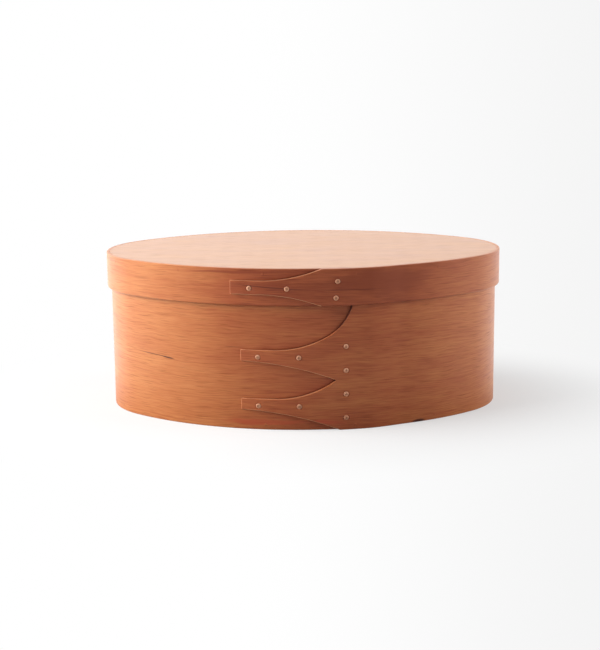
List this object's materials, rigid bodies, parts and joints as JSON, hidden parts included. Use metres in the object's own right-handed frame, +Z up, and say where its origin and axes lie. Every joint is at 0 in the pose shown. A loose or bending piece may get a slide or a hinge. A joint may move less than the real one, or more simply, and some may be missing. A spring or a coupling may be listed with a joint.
{
  "type": "oval bentwood box",
  "caption": "Oval bentwood box in cherry with a lift-off lid, swallowtail-lapped bands fixed with copper tacks, and pegged boards.",
  "frame": {"origin": "middle of the base, on the surface the box stands on", "axes": "+X along the oval's length, -Y towards the lapped front, +Z up"},
  "size_m": [0.2398, 0.1619, 0.094],
  "materials": {
    "cherry_band": "oiled cherry, grain along the strip",
    "cherry_board": "oiled cherry board, grain along X",
    "cherry_peg": "cherry end grain, cut flush",
    "copper_tack": "plain copper, slightly dulled"
  },
  "bodies": {
    "box": {"bottom_peg_1": "cherry_peg", "bottom_peg_2": "cherry_peg", "bottom_peg_3": "cherry_peg", "bottom_peg_4": "cherry_peg", "bottom_peg_5": "cherry_peg", "bottom_peg_6": "cherry_peg", "bottom_peg_7": "cherry_peg", "bottom_peg_8": "cherry_peg", "bottom_peg_9": "cherry_peg", "bottom_peg_10": "cherry_peg", "bottom_peg_11": "cherry_peg", "bottom_peg_12": "cherry_peg", "box_band": "cherry_band", "box_bottom": "cherry_board", "box_column_tack_1": "copper_tack", "box_column_tack_2": "copper_tack", "box_column_tack_3": "copper_tack", "box_column_tack_4": "copper_tack", "lower_finger_root_tack": "copper_tack", "lower_finger_tip_tack": "copper_tack", "upper_finger_root_tack": "copper_tack", "upper_finger_tip_tack": "copper_tack"},
    "lid": {"lid_band": "cherry_band", "lid_column_tack_1": "copper_tack", "lid_column_tack_2": "copper_tack", "lid_finger_root_tack": "copper_tack", "lid_finger_tip_tack": "copper_tack", "lid_peg_1": "cherry_peg", "lid_peg_2": "cherry_peg", "lid_peg_3": "cherry_peg", "lid_peg_4": "cherry_peg", "lid_peg_5": "cherry_peg", "lid_peg_6": "cherry_peg", "lid_peg_7": "cherry_peg", "lid_peg_8": "cherry_peg", "lid_peg_9": "cherry_peg", "lid_peg_10": "cherry_peg", "lid_peg_11": "cherry_peg", "lid_peg_12": "cherry_peg", "lid_top": "cherry_board"}
  },
  "joints": [
    {"name": "lid_lift", "type": "slide", "parent": "box", "child": "lid", "axis": [0, 0, 1], "range_m": [0, 0.08]}
  ]
}
